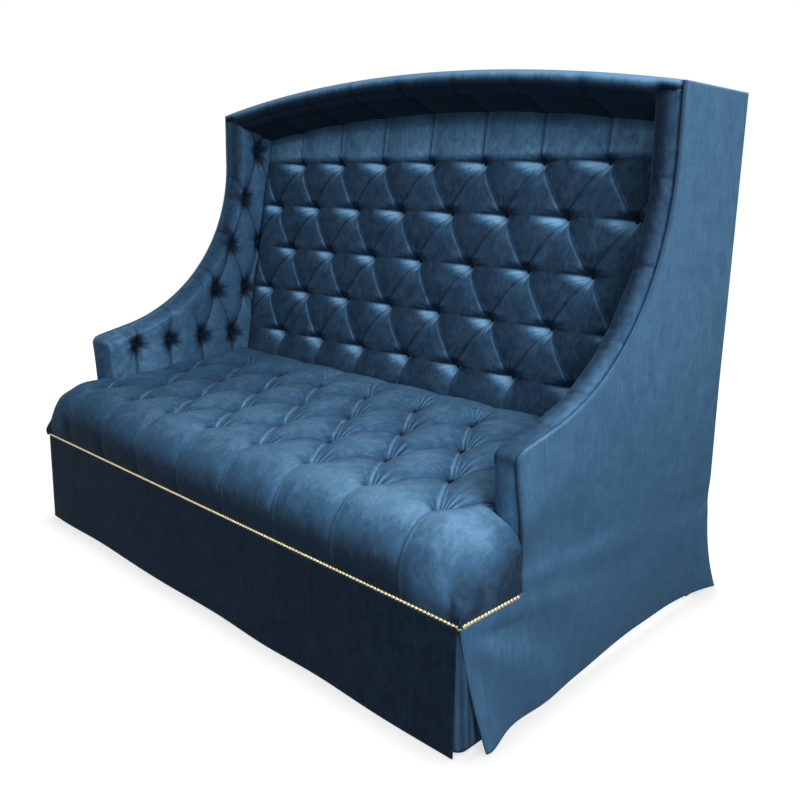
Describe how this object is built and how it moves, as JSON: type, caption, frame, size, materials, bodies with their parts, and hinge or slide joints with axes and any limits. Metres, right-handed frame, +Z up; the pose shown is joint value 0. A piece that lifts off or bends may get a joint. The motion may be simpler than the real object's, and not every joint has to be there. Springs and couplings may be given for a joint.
{
  "type": "hooded settee",
  "caption": "High-backed settee with an arched padded hood, sweeping wings and low arms, deep diamond-tufted seat, back and wings, brass nailheads and a floor-length skirt.",
  "frame": {"origin": "middle of the footprint, on the floor", "axes": "+X to the right seen from the front, +Y to the rear, +Z up"},
  "size_m": [1.903, 1.183, 1.4818],
  "materials": {
    "velvet": "short-pile velvet, navy to teal with the nap",
    "nailheads": "polished domed brass",
    "webbing": "jute webbing",
    "hessian": "plain-woven hessian",
    "cambric": "black cambric",
    "foam": "polyurethane foam",
    "glides": "moulded nylon",
    "plywood": "sawn birch ply",
    "beech": "planed beech"
  },
  "bodies": {
    "root": {"arm_batten_left": "beech", "arm_batten_right": "beech", "back_buttons": "velvet", "back_cover": "velvet", "back_hessian": "hessian", "back_pad": "velvet", "back_post_left": "beech", "back_post_right": "beech", "back_stiles": "beech", "back_webbing": "webbing", "centre_legs": "beech", "corner_blocks": "beech", "cross_rails": "beech", "dust_cover": "cambric", "front_batten": "beech", "front_insert_left": "velvet", "front_insert_right": "velvet", "front_legs": "beech", "front_rail": "beech", "front_skirt": "velvet", "glides": "glides", "hood_ceiling": "velvet", "hood_front_rail": "beech", "hood_lip": "velvet", "hood_rear_rail": "beech", "hood_ribs": "beech", "hood_top_cover": "velvet", "nails_front": "nailheads", "nails_left": "nailheads", "nails_right": "nailheads", "rear_insert_left": "velvet", "rear_insert_right": "velvet", "rear_outer_rails": "beech", "rear_seat_rail": "beech", "seat_buttons": "velvet", "seat_foam": "foam", "seat_hessian": "hessian", "seat_pad": "velvet", "seat_webbing": "webbing", "side_batten_left": "beech", "side_batten_right": "beech", "side_cover_left": "velvet", "side_cover_right": "velvet", "side_panel_left": "plywood", "side_panel_right": "plywood", "side_rail_left": "beech", "side_rail_right": "beech", "wing_buttons_left": "velvet", "wing_buttons_right": "velvet", "wing_pad_left": "velvet", "wing_pad_right": "velvet"}
  },
  "joints": []
}
